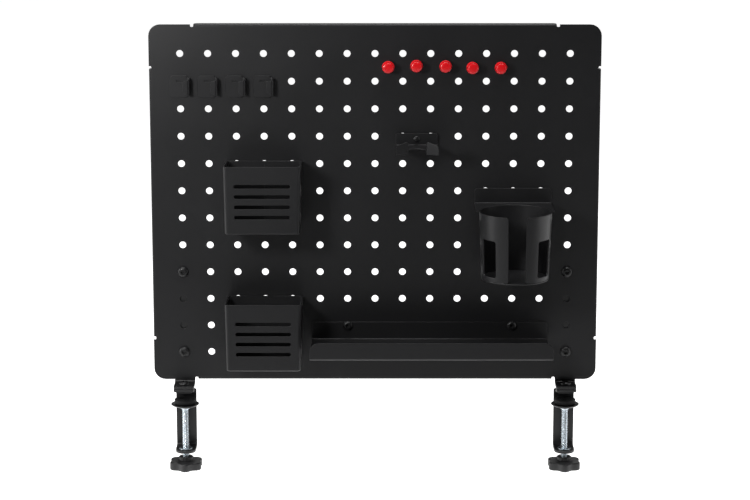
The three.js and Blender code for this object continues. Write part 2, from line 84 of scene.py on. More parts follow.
def low_high(node):
    """A CAD node's lowest and highest corners, in millimetres."""
    low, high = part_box(node)
    return low / MM, high / MM


def middle(node):
    low, high = low_high(node)
    return (low + high) / 2


# ---------------------------------------------------------------- outlines

def arc(cx, cy, radius, start, end, steps=6):
    """Points of an arc; the angles are in degrees, counted anticlockwise from the first axis."""
    points = []
    for i in range(steps + 1):
        angle = math.radians(start + (end - start) * i / steps)
        points.append((cx + radius * math.cos(angle), cy + radius * math.sin(angle)))
    return points


def circle(cx, cy, radius, steps=28):
    return arc(cx, cy, radius, 0, 360, steps)[:-1]


def rounded(x0, x1, y0, y1, radius, steps=5):
    return (
        arc(x1 - radius, y0 + radius, radius, -90, 0, steps)
        + arc(x1 - radius, y1 - radius, radius, 0, 90, steps)
        + arc(x0 + radius, y1 - radius, radius, 90, 180, steps)
        + arc(x0 + radius, y0 + radius, radius, 180, 270, steps)
    )


def stadium(cx, cy, half_straight, radius, steps=8):
    right_end = arc(cx + half_straight, cy, radius, -90, 90, steps)
    left_end = arc(cx - half_straight, cy, radius, 90, 270, steps)
    return right_end + left_end


# ---------------------------------------------------------------- mesh tools

def blank(outer, holes=(), thickness=SHEET, edge=EDGE):
    """A flat sheet cut to an outline, with rounded edges, centred on z = 0."""
    curve = bpy.data.curves.new("blank", "CURVE")
    curve.dimensions = "2D"
    curve.fill_mode = "BOTH"
    curve.extrude = thickness / 2 - edge
    curve.bevel_depth = edge
    curve.bevel_resolution = 2
    curve.offset = -edge
    for loop in [outer, *holes]:
        spline = curve.splines.new("POLY")
        spline.points.add(len(loop) - 1)
        spline.points.foreach_set("co", [c for x, y in loop for c in (x, y, 0, 1)])
        spline.use_cyclic_u = True
    holder = bpy.data.objects.new("blank", curve)
    bpy.context.scene.collection.objects.link(holder)
    mesh = bpy.data.meshes.new_from_object(holder.evaluated_get(bpy.context.evaluated_depsgraph_get()))
    sheet = bmesh.new()
    sheet.from_mesh(mesh)
    bmesh.ops.remove_doubles(sheet, verts=sheet.verts, dist=2e-3)
    bpy.data.objects.remove(holder)
    bpy.data.curves.remove(curve)
    bpy.data.meshes.remove(mesh)
    return sheet


def crease(sheet, axis, places):
    """Cuts edges across a sheet, so that it can bend there."""
    normal = Vector((1, 0, 0)) if axis == "x" else Vector((0, 1, 0))
    for place in places:
        parts = sheet.verts[:] + sheet.edges[:] + sheet.faces[:]
        bmesh.ops.bisect_plane(sheet, geom=parts, dist=1e-4, plane_co=normal * place, plane_no=normal)


class Route:
    """A bent sheet's middle line: runs (length,) and bends (radius, degrees), left turns positive."""

    def __init__(self, start, heading, steps):
        self.stretches = []
        point = Vector(start)
        ahead = Vector(heading)
        u = 0.0
        for step in steps:
            if len(step) == 1:
                length, turn = step[0], 0.0
            else:
                turn = math.radians(step[1])
                length = step[0] * abs(turn)
            self.stretches.append((u, length, turn, point.copy(), ahead.copy()))
            point, ahead = self.along(self.stretches[-1], length)
            u += length
        self.length = u

    @staticmethod
    def along(stretch, distance):
        _, length, turn, point, ahead = stretch
        if not turn:
            return point + ahead * distance, ahead
        radius = length / turn
        angle = turn * distance / length
        side = Vector((-ahead.y, ahead.x))
        moved = point + ahead * (radius * math.sin(angle)) + side * (radius * (1 - math.cos(angle)))
        return moved, ahead * math.cos(angle) + side * math.sin(angle)

    def at(self, u, lift):
        """The point at distance u, lifted to the left of the line."""
        stretch = self.stretches[0]
        for candidate in self.stretches:
            if candidate[0] <= u:
                stretch = candidate
        point, ahead = self.along(stretch, u - stretch[0])
        return point + Vector((-ahead.y, ahead.x)) * lift

    @classmethod
    def through(cls, corners, radius):
        """A route along straight runs between corners, with a bend of the middle radius at each corner."""
        points = [Vector(corner) for corner in corners]
        runs = [b - a for a, b in zip(points, points[1:])]
        steps = []
        used = 0.0
        for run, following in zip(runs, runs[1:]):
            turn = math.atan2(run.x * following.y - run.y * following.x, run.dot(following))
            setback = radius * math.tan(abs(turn) / 2)
            steps += [(run.length - used - setback,), (radius, math.degrees(turn))]
            used = setback
        steps.append((runs[-1].length - used,))
        return cls(points[0], runs[0].normalized(), steps)

    def creases(self, degrees_each=11):
        places = []
        for u, length, turn, _, _ in self.stretches:
            if turn:
                count = max(2, round(abs(math.degrees(turn)) / degrees_each))
                places += [u + length * i / count for i in range(count + 1)]
        return places


def fold(sheet, route, along="y"):
    """Bends a flat sheet. Along y, the sheet's x stays X; along x, the sheet's y becomes Z."""
    crease(sheet, along, route.creases())
    for vert in sheet.verts:
        x, y, z = vert.co
        if along == "y":
            point = route.at(y, z)
            vert.co = (x, point.x, point.y)
        else:
            point = route.at(x, z)
            vert.co = (point.x, point.y, y)
    return sheet


def rings(levels, count=48, loop=False):
    """A turned body about Z. Each level is (z, radius), and a radius may be a function of the angle."""
    body = bmesh.new()
    rows = []
    for z, radius in levels:
        row = []
        for i in range(count):
            angle = 2 * math.pi * i / count
            reach = radius(angle) if callable(radius) else radius
            row.append(body.verts.new((reach * math.cos(angle), reach * math.sin(angle), z)))
        rows.append(row)
    pairs = list(zip(rows, rows[1:])) + ([(rows[-1], rows[0])] if loop else [])
    for lower, upper in pairs:
        for i in range(count):
            j = (i + 1) % count
            body.faces.new((lower[i], lower[j], upper[j], upper[i]))
    if not loop:
        body.faces.new(rows[0][::-1])
        body.faces.new(rows[-1])
    return body


def soften(profile, radius, steps=3, closed=False):
    """Rounds the corners of a [(radius, z)] profile and returns levels for rings()."""
    points = [Vector(p) for p in profile]
    count = len(points)
    levels = []
    for i, point in enumerate(points):
        if not closed and i in (0, count - 1):
            levels.append((point.y, point.x))
            continue
        before = points[i - 1] - point
        after = points[(i + 1) % count] - point
        reach = min(radius, before.length * 0.45, after.length * 0.45)
        start = point + before.normalized() * reach
        end = point + after.normalized() * reach
        for step in range(steps + 1):
            t = step / steps
            bent = start * (1 - t) ** 2 + point * (2 * t * (1 - t)) + end * t ** 2
            levels.append((bent.y, bent.x))
    return levels


def merged(parts):
    """Several bmeshes as one."""
    whole = bmesh.new()
    for part in parts:
        mesh = bpy.data.meshes.new("part")
        part.to_mesh(mesh)
        whole.from_mesh(mesh)
        bpy.data.meshes.remove(mesh)
        part.free()
    return whole


def moved(body, place=(0, 0, 0), turn=None):
    """Turns a bmesh about an axis through the origin, in degrees, then moves it."""
    matrix = Matrix.Translation(Vector(place))
    if turn:
        matrix = matrix @ Matrix.Rotation(math.radians(turn[0]), 4, turn[1])
    bmesh.ops.transform(body, matrix=matrix, verts=body.verts)
    return body


def piece(name, body, look, rides_on, stands_for, sharp=38):
    """Makes the finished object of a bmesh in millimetres."""
    bmesh.ops.recalc_face_normals(body, faces=body.faces)
    bmesh.ops.scale(body, vec=(MM, MM, MM), verts=body.verts)
    mesh = bpy.data.meshes.new(name)
    body.to_mesh(mesh)
    body.free()
    mesh.polygons.foreach_set("use_smooth", [True] * len(mesh.polygons))
    mesh.set_sharp_from_angle(angle=math.radians(sharp))
    mesh.materials.append(look)
    made = bpy.data.objects.new(name, mesh)
    bpy.context.scene.collection.objects.link(made)
    weighted = made.modifiers.new("weighted", "WEIGHTED_NORMAL")
    weighted.keep_sharp = True
    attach(made, rides_on)
    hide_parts(*stands_for)
    return made


# ---------------------------------------------------------------- materials

def new_material(name, color, metallic, roughness, specular, coat=0.0, coat_roughness=0.1):
    material = bpy.data.materials.new(name)
    material.use_nodes = True
    shader = material.node_tree.nodes["Principled BSDF"]
    shader.inputs["Base Color"].default_value = (*color, 1)
    shader.inputs["Metallic"].default_value = metallic
    shader.inputs["Roughness"].default_value = roughness
    shader.inputs["Specular IOR Level"].default_value = specular
    shader.inputs["Coat Weight"].default_value = coat
    shader.inputs["Coat Roughness"].default_value = coat_roughness
    return material, shader


def noise(tree, scale, detail=3.0, stretch=(1, 1, 1)):
    coordinates = tree.nodes.new("ShaderNodeTexCoord")
    mapping = tree.nodes.new("ShaderNodeMapping")
    mapping.inputs["Scale"].default_value = stretch
    texture = tree.nodes.new("ShaderNodeTexNoise")
    texture.inputs["Scale"].default_value = scale
    texture.inputs["Detail"].default_value = detail
    tree.links.new(coordinates.outputs["Object"], mapping.inputs["Vector"])
    tree.links.new(mapping.outputs["Vector"], texture.inputs["Vector"])
    return texture.outputs["Fac"]


def ranged(tree, value, low, high):
    node = tree.nodes.new("ShaderNodeMapRange")
    node.inputs["From Min"].default_value = 0.3
    node.inputs["From Max"].default_value = 0.7
    node.inputs["To Min"].default_value = low
    node.inputs["To Max"].default_value = high
    tree.links.new(value, node.inputs["Value"])
    return node.outputs["Result"]


def blended(tree, value, first, second):
    node = tree.nodes.new("ShaderNodeMix")
    node.data_type = "RGBA"
    node.inputs["A"].default_value = (*first, 1)
    node.inputs["B"].default_value = (*second, 1)
    tree.links.new(value, node.inputs["Factor"])
    return node.outputs["Result"]


def bumped(tree, shader, height, distance, strength):
    node = tree.nodes.new("ShaderNodeBump")
    node.inputs["Strength"].default_value = strength
    node.inputs["Distance"].default_value = distance
    tree.links.new(height, node.inputs["Height"])
    tree.links.new(node.outputs["Normal"], shader.inputs["Normal"])


def grained(name, dark, light, metallic, roughness, specular, grain, distance, strength, **finish):
    """A surface with fine grain in its bump, slow changes in its gloss, and slight colour variation."""
    low, high = roughness
    material, shader = new_material(name, dark, metallic, low, specular, **finish)
    tree = material.node_tree
    slow = noise(tree, 14, 4)
    tree.links.new(ranged(tree, slow, low, high), shader.inputs["Roughness"])
    fine = noise(tree, grain, 2)
    tree.links.new(blended(tree, fine, dark, light), shader.inputs["Base Color"])
    bumped(tree, shader, fine, distance, strength)
    return material


def brushed(name, dark, light, roughness, grain, stretch):
    """Plated steel with fine turning marks."""
    low, high = roughness
    material, shader = new_material(name, light, 1.0, low, 0.5)
    tree = material.node_tree
    marks = noise(tree, grain, 3, stretch)
    tree.links.new(ranged(tree, marks, low, high), shader.inputs["Roughness"])
    tree.links.new(blended(tree, noise(tree, 90, 3), dark, light), shader.inputs["Base Color"])
    bumped(tree, shader, marks, 0.00002, 0.3)
    return material


POWDER = grained(
    "powder_coat", (0.0105, 0.0105, 0.0112), (0.0155, 0.0155, 0.0165),
    0.0, (0.34, 0.42), 0.3, 1500, 0.00006, 0.3,
)
CLAMP_PAINT = grained(
    "clamp_paint", (0.009, 0.009, 0.0095), (0.013, 0.013, 0.0135),
    0.0, (0.3, 0.4), 0.45, 900, 0.00005, 0.25,
)
OXIDE = grained(
    "black_fastener", (0.010, 0.010, 0.0105), (0.02, 0.02, 0.021),
    0.3, (0.3, 0.42), 0.5, 1200, 0.00003, 0.2,
)
KNOB = grained(
    "knob_plastic", (0.012, 0.012, 0.0125), (0.018, 0.018, 0.019),
    0.0, (0.38, 0.5), 0.45, 1100, 0.00008, 0.35,
)
RUBBER = grained(
    "black_rubber", (0.008, 0.008, 0.0085), (0.013, 0.013, 0.0135),
    0.0, (0.7, 0.85), 0.3, 1800, 0.0001, 0.4,
)
RED = grained(
    "red_plastic", (0.68, 0.007, 0.011), (0.76, 0.010, 0.015), 0.0, (0.2, 0.26), 0.5, 400, 0.00001, 0.05,
    coat=0.35, coat_roughness=0.08,
)
ZINC = brushed("zinc_plate", (0.66, 0.74, 0.80), (0.84, 0.9, 0.94), (0.2, 0.32), 700, (1, 1, 6))
NICKEL = brushed("nickel_plate", (0.5, 0.5, 0.51), (0.68, 0.67, 0.66), (0.16, 0.26), 900, (1, 1, 1))


# ---------------------------------------------------------------- panel

def peg_panel():
    """The perforated sheet with its four edges folded back between relief notches."""
    low, high = low_high("peg_panel")
    flange_top = low_high("flange_top")
    flange_side = low_high("flange_left")
    depth = flange_top[1].y
    outer_bend = 1.7
    bend = outer_bend - SHEET / 2
    arc_length = bend * math.pi / 2
    flap = arc_length + depth - outer_bend
    notch = 1.4
    end_x = flange_top[1].x
    end_low, end_high = flange_side[0].z, flange_side[1].z
    left, right, bottom, top = low.x, high.x, low.z, high.z
    corner = 10.6

    def side(along_from, along_to, fold_at, outward, place):
        """One flap's outline with a relief notch at each end, in the order of travel."""
        sign = 1 if along_to > along_from else -1
        beyond = fold_at + outward * flap
        deep = fold_at - outward * 0.2
        edge = fold_at + outward * outer_bend
        chamfer = 2.5
        points = [
            (along_from - sign * 2 * notch, edge),
            (along_from - sign * 2 * notch, deep),
            (along_from - sign * notch, deep - outward * 0.5),
            (along_from, deep),
            (along_from, beyond - outward * chamfer),
            (along_from + sign * chamfer, beyond),
            (along_to - sign * chamfer, beyond),
            (along_to, beyond - outward * chamfer),
            (along_to, deep),
            (along_to + sign * notch, deep - outward * 0.5),
            (along_to + sign * 2 * notch, deep),
            (along_to + sign * 2 * notch, edge),
        ]
        return [place(a, b) for a, b in points]

    across = lambda a, b: (a, b)
    upright = lambda a, b: (b, a)
    outline = (
        arc(left + corner, bottom + corner, corner, 180, 270)
        + side(-end_x, end_x, bottom + outer_bend, -1, across)
        + arc(right - corner, bottom + corner, corner, -90, 0)
        + side(end_low, end_high, right - outer_bend, 1, upright)
        + arc(right - corner, top - corner, corner, 0, 90)
        + side(end_x, -end_x, top - outer_bend, 1, across)
        + arc(left + corner, top - corner, corner, 90, 180)
        + side(end_high, end_low, left + outer_bend, -1, upright)
    )
    first_x = (left + right) / 2 - (COLUMNS - 1) / 2 * PITCH
    first_z = (bottom + top) / 2 - (ROWS - 1) / 2 * PITCH
    holes = [
        circle(first_x + i * PITCH, first_z + j * PITCH, HOLE_RADIUS)
        for i in range(COLUMNS) for j in range(ROWS)
    ]
    sheet = blank(outline, holes)
    folds = [("x", right - outer_bend, 1), ("x", left + outer_bend, -1), ("y", top - outer_bend, 1),
             ("y", bottom + outer_bend, -1)]
    steps = 6
    for axis, fold_at, outward in folds:
        crease(sheet, axis, [fold_at + outward * arc_length * i / steps for i in range(steps + 1)])
    for vert in sheet.verts:
        x, z, lift = vert.co
        back = lift
        for axis, fold_at, outward in folds:
            along, across_it = (z, x) if axis == "x" else (x, z)
            inside = end_low - 0.01 < along < end_high + 0.01 if axis == "x" else abs(along) < end_x + 0.01
            distance = (across_it - fold_at) * outward
            if not inside or distance <= 0:
                continue
            angle = min(distance / bend, math.pi / 2)
            reach = fold_at + outward * (bend - lift) * math.sin(angle)
            back = bend - (bend - lift) * math.cos(angle) + max(0.0, distance - arc_length)
            x, z = (reach, z) if axis == "x" else (x, reach)
        vert.co = (x, back + SHEET / 2, z)
    flanges = ["flange_top", "flange_bottom", "flange_left", "flange_right"]
    piece("panel_sheet", sheet, POWDER, "root", ["peg_panel", *flanges])


# ---------------------------------------------------------------- fasteners

def hexagon(inside_radius, limit=1e9):
    """The radius of a hexagon by angle, cut off by a circle."""
    def radius(angle):
        within = (angle % (math.pi / 3)) - math.pi / 6
        return min(inside_radius / math.cos(within), limit)
    return radius


def button_screw(shank, head, height, length):
    """A button-head screw with a hexagon socket; its head's underside is at z = 0."""
    socket = head * 0.36
    crown = [math.radians(a) for a in range(8, 89, 10)]
    dome = [(height * math.sin(a), head * (0.45 + 0.55 * math.cos(a))) for a in crown]
    levels = [
        (-length, shank * 0.75),
        (-length + 0.8, shank),
        (0, shank),
        (0, head * 0.96),
        (height * 0.06, head),
        *dome[1:],
        (height, head * 0.46),
        (height, hexagon(socket * 1.06)),
        (height - 0.25, hexagon(socket)),
        (height - 1.7, hexagon(socket)),
        (height - 2.0, socket * 0.3),
    ]
    return rings(levels, 36)


def hex_nut(bore, inside_radius, height):
    """A hexagon nut with chamfered corners and a bore."""
    round_limit = inside_radius * 1.06
    return rings([
        (0, bore + 0.4),
        (0, round_limit - 0.2),
        (height * 0.12, hexagon(inside_radius, round_limit + 0.45)),
        (height * 0.88, hexagon(inside_radius, round_limit + 0.45)),
        (height, round_limit - 0.2),
        (height, bore + 0.4),
        (height - 0.4, bore),
        (0.4, bore),
    ], 36, loop=True)


def fastener_pieces():
    for side in ("left", "right"):
        for row in (9, 12):
            screw, nut = f"panel_screw_{side}_row{row}", f"panel_nut_{side}_row{row}"
            facing_screw(screw, 2.9, 5.1, 3.0)
            facing_nut(nut, 3.3, 5.0)
        name = f"foot_screw_{side}"
        low, high = low_high(name)
        head = 2.6
        body = button_screw(2.5, 4.6, head, high.z - low.z - head)
        place = (middle(name).x, middle(name).y, high.z - head)
        piece(f"{name}_body", moved(body, place), OXIDE, "root", [name])
        facing_screw(f"tray_screw_{side}", 2.5, 4.4, 2.5)
        facing_nut(f"tray_nut_{side}", 2.8, 4.0)


def facing_screw(node, shank, head, height):
    low, high = low_high(node)
    body = button_screw(shank, head, height, high.y - low.y - height)
    place = (middle(node).x, low.y + height, middle(node).z)
    piece(f"{node}_body", moved(body, place, (90, "X")), OXIDE, "root", [node])


def facing_nut(node, bore, inside_radius):
    low, high = low_high(node)
    body = hex_nut(bore, inside_radius, high.y - low.y)
    place = (middle(node).x, high.y, middle(node).z)
    piece(f"{node}_body", moved(body, place, (90, "X")), OXIDE, "root", [node])


# ---------------------------------------------------------------- clamps

def upright_bracket(side):
    name = f"upright_{side}"
    low, high = low_high(name)
    half = (high.x - low.x) / 2
    bend = 2.5 + STRIP / 2
    leg_y = high.y - STRIP / 2
    foot_z = low.z + STRIP / 2
    route = Route.through([(leg_y, high.z), (leg_y, foot_z), (low.y, foot_z)], bend)
    screws = [high.z - middle(f"panel_screw_{side}_row{row}").z for row in (9, 12)]
    foot_hole = route.length - (middle(f"foot_screw_{side}").y - low.y)
    holes = [circle(0, u, 3.3) for u in screws] + [circle(0, foot_hole, 2.8)]
    sheet = fold(blank(rounded(-half, half, 0, route.length, 2.5), holes, STRIP, 0.35), route)
    place = (middle(name).x, 0, 0)
    piece(f"{name}_body", moved(sheet, place), CLAMP_PAINT, "root", [name])


def clamp_frame(side):
    """The C-shaped frame, waisted behind the upper jaw's front edge, with a round lower nose."""
    name = f"clamp_frame_{side}"
    low, high = low_high(name)
    half = (high.x - low.x) / 2
    bend = 2 + STRIP / 2
    upper_z = high.z - STRIP / 2
    spine_y = high.y - STRIP / 2
    lower_z = low.z + STRIP / 2
    axis_y = middle(f"clamp_screw_{side}").y
    corners = [(low.y, upper_z), (spine_y, upper_z), (spine_y, lower_z), (axis_y - half, lower_z)]
    route = Route.through(corners, bend)
    waist, ledge = 7.6, 4.5
    shoulder = route.stretches[2][0] + 2.5
    nose = route.length - half
    outline = (
        arc(half - 2, 2, 2, -90, 0)
        + [(half, ledge)]
        + arc(waist + 1, ledge + 1, 1, -90, -180, 3)
        + arc(waist + 1, shoulder - 1, 1, 180, 90, 3)
        + arc(half - 1, shoulder + 1, 1, -90, 0, 3)
        + arc(0, nose, half, 0, 180, 20)
        + arc(1 - half, shoulder + 1, 1, 180, 270, 3)
        + arc(-waist - 1, shoulder - 1, 1, 90, 0, 3)
        + arc(-waist - 1, ledge + 1, 1, 0, -90, 3)
        + [(-half, ledge)]
        + arc(2 - half, 2, 2, 180, 270)
    )
    holes = [circle(0, nose, 5), circle(0, middle(f"foot_screw_{side}").y - low.y, 2.8)]
    sheet = fold(blank(outline, holes, STRIP, 0.35), route)
    place = (middle(name).x, 0, 0)
    piece(f"{name}_body", moved(sheet, place), CLAMP_PAINT, "root", [name])


def jaw_pad(side):
    name = f"jaw_pad_{side}"
    low, high = low_high(name)
    half = (high.x - low.x) / 2
    body = blank(rounded(-half, half, low.y, high.y, 1.5), (), high.z - low.z, 0.3)
    place = (middle(name).x, 0, (low.z + high.z) / 2)
    piece(f"{name}_body", moved(body, place), RUBBER, "root", [name])


def threaded_rod(radius, pitch, low, high, smooth_from):
    """Levels of a rod with a rolled thread up to smooth_from."""
    depth = 0.42
    steps_each = 6
    levels = [(low, radius * 0.7)]
    count = round((smooth_from - low - 1) / pitch * steps_each)
    for i in range(count + 1):
        z = low + 1 + i * pitch / steps_each

        def thread(angle, z=z):
            phase = (z / pitch - angle / (2 * math.pi)) % 1
            crest = 1 - abs(2 * phase - 1)
            return radius - depth * (1 - min(1.0, crest * 1.25))

        levels.append((z, thread))
    return levels


def clamp_screw(side):
    name = f"clamp_screw_{side}"
    low, high = low_high(name)
    radius, collar_radius = 3.0, (high.x - low.x) / 2
    collar_top = high.z - 3.9
    collar_low = collar_top - 1
    levels = threaded_rod(radius, 1.0, low.z, high.z, collar_low - 1.5)
    levels += [
        (collar_low - 1.2, radius * 0.9),
        (collar_low, radius * 0.9),
        (collar_low, collar_radius - 0.2),
        (collar_low + 0.2, collar_radius),
        (collar_top - 0.2, collar_radius),
        (collar_top, collar_radius - 0.2),
        (collar_top, radius),
        (high.z - 0.5, radius),
        (high.z, radius - 0.5),
    ]
    place = (middle(name).x, middle(name).y, 0)
    body = moved(rings(levels, 28), place)
    piece(f"{name}_body", body, ZINC, f"clamp_{side}_screw", [name], sharp=55)


def pressure_disc(side):
    name = f"pressure_disc_{side}"
    low, high = low_high(name)
    radius = (high.x - low.x) / 2
    profile = [
        (3.4, low.z), (7, low.z), (radius - 1.2, high.z - 1.5), (radius, high.z - 0.5),
        (radius - 0.5, high.z), (radius - 1.8, high.z - 0.5), (9, high.z - 0.6), (3.4, high.z - 0.6),
    ]
    body = rings(soften(profile, 0.6, closed=True), 64, loop=True)
    place = (middle(name).x, middle(name).y, 0)
    piece(f"{name}_body", moved(body, place), CLAMP_PAINT, f"clamp_{side}_press", [name])


def pressure_puck(side):
    """The rubber puck, with shallow grip rings on its top."""
    name = f"pressure_puck_{side}"
    low, high = low_high(name)
    radius = (high.x - low.x) / 2
    profile = [(1, low.z), (radius, low.z), (radius - 0.1, high.z)]
    for ring in (8.2, 6.4, 4.6, 2.8):
        groove = high.z - 0.4
        profile += [(ring, high.z), (ring - 0.25, groove), (ring - 0.65, groove), (ring - 0.9, high.z)]
    profile.append((1, high.z))
    body = rings(soften(profile, 0.5), 64)
    place = (middle(name).x, middle(name).y, 0)
    piece(f"{name}_body", moved(body, place), RUBBER, f"clamp_{side}_press", [name])


def threaded_bush(side):
    name = f"threaded_bush_{side}"
    low, high = low_high(name)
    bore, shank, flange = 3.3, 4.7, 6.2
    under_flange = high.z - 0.7
    profile = [
        (bore, low.z), (shank, low.z), (shank, under_flange),
        (flange, under_flange), (flange, high.z), (bore, high.z),
    ]
    body = rings(soften(profile, 0.2, closed=True), 40, loop=True)
    place = (middle(name).x, middle(name).y, 0)
    piece(f"{name}_body", moved(body, place), ZINC, "root", [name])


def star_knob(side):
    """Six soft lobes below a ribbed hub, around a blind bore."""
    name = f"clamp_knob_{side}"
    low, high = low_high(name)
    reach = (high.y - low.y) / 2
    star_top = low.z + 8

    def star(inset):
        return lambda a: reach - inset + 1.5 * (math.cos(6 * (a + math.pi / 2)) - 1)

    def ribbed(radius):
        return lambda a: radius - 0.35 * (1 - abs(math.cos(8 * a)))

    levels = [
        (low.z + 0.4, 5.0),
        (low.z + 0.4, 8.2),
        (low.z, 8.8),
        (low.z, star(1.4)),
        (low.z + 0.35, star(0.6)),
        (low.z + 1.1, star(0.08)),
        (low.z + 1.6, star(0.0)),
        (star_top - 1.6, star(0.0)),
        (star_top - 1.0, star(0.12)),
        (star_top - 0.35, star(0.7)),
        (star_top, star(1.6)),
        (star_top + 0.15, 8.2),
        (star_top + 0.6, ribbed(7.1)),
        (star_top + 1.0, ribbed(6.8)),
        (high.z - 0.5, ribbed(6.8)),
        (high.z, ribbed(6.3)),
        (high.z, 4.2),
        (high.z - 0.5, 3.4),
        (low.z + 3.4, 3.4),
        (low.z + 3.4, 1.0),
    ]
    place = (middle(name).x, middle(name).y, 0)
    body = moved(rings(levels, 96), place)
    piece(f"{name}_body", body, KNOB, f"clamp_{side}_screw", [name], sharp=50)


def clamps():
    for side in ("left", "right"):
        upright_bracket(side)
        clamp_frame(side)
        jaw_pad(side)
        threaded_bush(side)
        clamp_screw(side)
        pressure_disc(side)
        pressure_puck(side)
        star_knob(side)


# ---------------------------------------------------------------- hung holders

PLATE_MIDDLE = -0.9


def hook(x, start_y=PLATE_MIDDLE):
    """A peg tab on the hole's bottom with a leg behind the panel; z = 0 is the hole's centre."""
    half = 1.25
    tab_z = 0.3 - HOLE_RADIUS + SHEET / 2
    leg_y = 2.1
    route = Route.through([(start_y, tab_z), (leg_y, tab_z), (leg_y, -5.8)], 0.9)
    tab = blank(rounded(-half, half, 0, route.length, 0.5, 3), (), SHEET, 0.12)
    return moved(fold(tab, route), (x, 0, 0))


def slotted_bin(name):
    """Walls wrapped round from a slotted blank, curled in at the bottom onto a floor."""
    low, high = low_high(name)
    peg_z = high.z - 5.5
    bottom = low.z - peg_z
    half = 35 - SHEET / 2
    front_y = low.y + SHEET / 2
    bend = 2.6
    route = Route.through([
        (0, PLATE_MIDDLE), (-half, PLATE_MIDDLE), (-half, front_y), (half, front_y), (half, PLATE_MIDDLE),
        (0, PLATE_MIDDLE),
    ], bend)
    starts = [stretch[0] for stretch in route.stretches]
    end = route.length
    back_top, front_top = 2.8, 5.5
    slope_start = starts[2] + 0.6
    slope_end = starts[3] - 1.5
    curl = 1.0
    curl_z = bottom + SHEET / 2 + curl
    blank_bottom = curl_z - curl * math.pi / 2 - 0.3
    outline = [
        (0, blank_bottom), (end, blank_bottom), (end, back_top), (end - slope_start, back_top),
        (end - slope_end, front_top), (slope_end, front_top), (slope_start, back_top), (0, back_top),
    ]
    slots = [stadium(end / 2, z, 24, 1.75) for z in (-12.4, -21.8, -31.2, -40.6)]
    walls = blank(outline, slots)
    crease(walls, "y", [curl_z - curl * math.pi / 2 * i / 6 for i in range(7)])
    crease(walls, "x", route.creases())
    for vert in walls.verts:
        u, z, lift = vert.co
        if z < curl_z:
            angle = min((curl_z - z) / curl, math.pi / 2)
            beyond = max(0.0, curl_z - z - curl * math.pi / 2)
            z = curl_z - (curl - lift) * math.sin(angle)
            lift = curl - (curl - lift) * math.cos(angle) + beyond
        point = route.at(u, lift)
        vert.co = (point.x, point.y, z)
    inset = 1.5
    base_outline = rounded(-half + inset, half - inset, front_y + inset, PLATE_MIDDLE - inset, 2)
    plate = blank(base_outline, (), SHEET, 0.2)
    moved(plate, (0, 0, bottom + SHEET / 2))
    for part in (walls, plate):
        for vert in part.verts:
            vert.co.x *= 1 - 0.000512 * (10.5 - vert.co.z)
    body = merged([walls, plate, hook(-PITCH), hook(PITCH)])
    place = (middle(name).x, 0, peg_z)
    piece(f"{name}_body", moved(body, place), POWDER, name, [name])


def cup_holder():
    """The round cup with its front slot and side windows, its floor, and the plate that it hangs in."""
    high = low_high("cup_shell")[1]
    floor_low, floor_high = low_high("cup_floor")
    bracket_low, bracket_high = low_high("cup_bracket")
    centre = middle("cup_floor")
    plate_top_above_row = 2.8
    peg_z = bracket_high.z - plate_top_above_row
    rim = high.z - peg_z
    floor_top = floor_high.z - peg_z
    outer, base = 33.0, 30.8
    radius = outer - SHEET / 2
    wall_low = floor_top + 0.02
    half_slot = math.asin(8.3 / outer)
    reach = radius * (math.pi - half_slot)
    outline = rounded(-reach, reach, wall_low, rim, 2.2)
    window_at = radius * math.radians(180 - 53)
    window_low, window_high = wall_low + 4, rim - 23
    half_window = 9
    windows = [
        rounded(at - half_window, at + half_window, window_low, window_high, 2.2)
        for at in (-window_at, window_at)
    ]
    wall = blank(outline, windows)
    cuts = 90
    crease(wall, "x", [reach * (2 * i / cuts - 1) for i in range(1, cuts)])
    slope = (outer - base) / (rim - wall_low)
    for vert in wall.verts:
        u, z, lift = vert.co
        angle = u / radius
        out = radius + lift - slope * (rim - z)
        vert.co = (out * math.sin(angle), out * math.cos(angle), z)
    moved(wall, (centre.x, centre.y, peg_z))
    piece("cup_wall", wall, POWDER, "cup_holder", ["cup_shell"])

    thickness = floor_high.z - floor_low.z
    floor_profile = [(2, 0), (base, 0), (base, thickness), (2, thickness)]
    plate = rings(soften(floor_profile, 0.6), 96)
    moved(plate, (centre.x, centre.y, floor_low.z))
    piece("cup_base", plate, POWDER, "cup_holder", ["cup_floor"])

    half = (bracket_high.x - bracket_low.x) / 2
    shelf_z = -11.6
    corners = [(PLATE_MIDDLE, bracket_high.z - peg_z), (PLATE_MIDDLE, shelf_z), (bracket_low.y, shelf_z)]
    route = Route.through(corners, 0.8 + SHEET / 2)
    end = route.length
    hollow = end + (bracket_low.y - centre.y)
    mouth = outer + 0.3
    outline = (
        [(-half, 3), *arc(-half + 3, 3, 3, 180, 270)[1:], *arc(half - 3, 3, 3, -90, 0)]
        + [(half, end), (mouth, end)]
        + arc(0, hollow, mouth, 0, -180, 40)
        + [(-mouth, end), (-half, end)]
    )
    sheet = fold(blank(outline), route)
    body = merged([sheet, hook(-PITCH), hook(PITCH)])
    moved(body, (middle("cup_bracket").x, 0, peg_z))
    piece("cup_hanger_plate", body, POWDER, "cup_holder", ["cup_bracket"])


